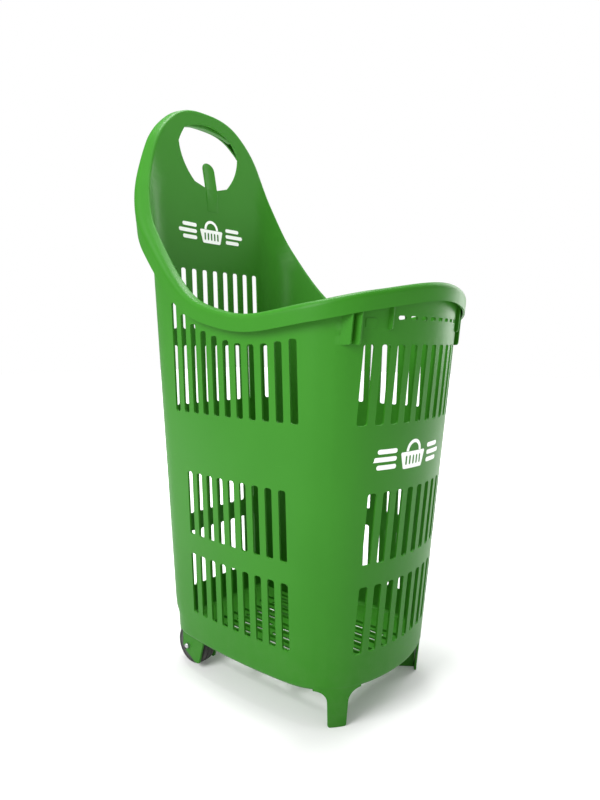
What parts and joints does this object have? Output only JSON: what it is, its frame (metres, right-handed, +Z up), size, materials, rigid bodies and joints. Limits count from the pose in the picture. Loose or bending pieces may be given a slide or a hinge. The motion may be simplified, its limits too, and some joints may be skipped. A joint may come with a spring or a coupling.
{
  "type": "rolling basket trolley",
  "caption": "Tall slotted plastic shopping basket with an arched carrying handle at the back, front feet and rear wheels on a steel axle.",
  "frame": {"origin": "on the floor, under the middle of the trolley's outline", "axes": "+Z up, +Y towards the tall back with the handle and the wheels, +X to the right seen from the low front looking at the back"},
  "size_m": [0.3658, 0.4868, 0.92],
  "materials": {
    "basket_plastic": "moulded, fine satin grain",
    "grip_plastic": "moulded, fine satin grain",
    "axle_steel": "zinc plated",
    "spring_steel": "spring steel, oiled",
    "hub_plastic": "moulded nylon",
    "bush_plastic": "turned acetal",
    "tyre_rubber": "soft black rubber"
  },
  "bodies": {
    "basket": {"basket_body": "basket_plastic", "handle_grip": "grip_plastic", "axle_rod": "axle_steel", "axle_retainer_inner_left": "spring_steel", "axle_retainer_outer_left": "spring_steel", "axle_retainer_inner_right": "spring_steel", "axle_retainer_outer_right": "spring_steel"},
    "wheel_left": {"wheel_hub_left": "hub_plastic", "wheel_tyre_left": "tyre_rubber", "wheel_bush_left": "bush_plastic"},
    "wheel_right": {"wheel_hub_right": "hub_plastic", "wheel_tyre_right": "tyre_rubber", "wheel_bush_right": "bush_plastic"}
  },
  "joints": [
    {"name": "wheel_left_spin", "type": "hinge", "parent": "basket", "child": "wheel_left", "pos_m": [-0.1105, 0.1385, 0.033], "axis": [1, 0, 0], "continuous": true},
    {"name": "wheel_right_spin", "type": "hinge", "parent": "basket", "child": "wheel_right", "pos_m": [0.1105, 0.1385, 0.033], "axis": [1, 0, 0], "continuous": true}
  ]
}
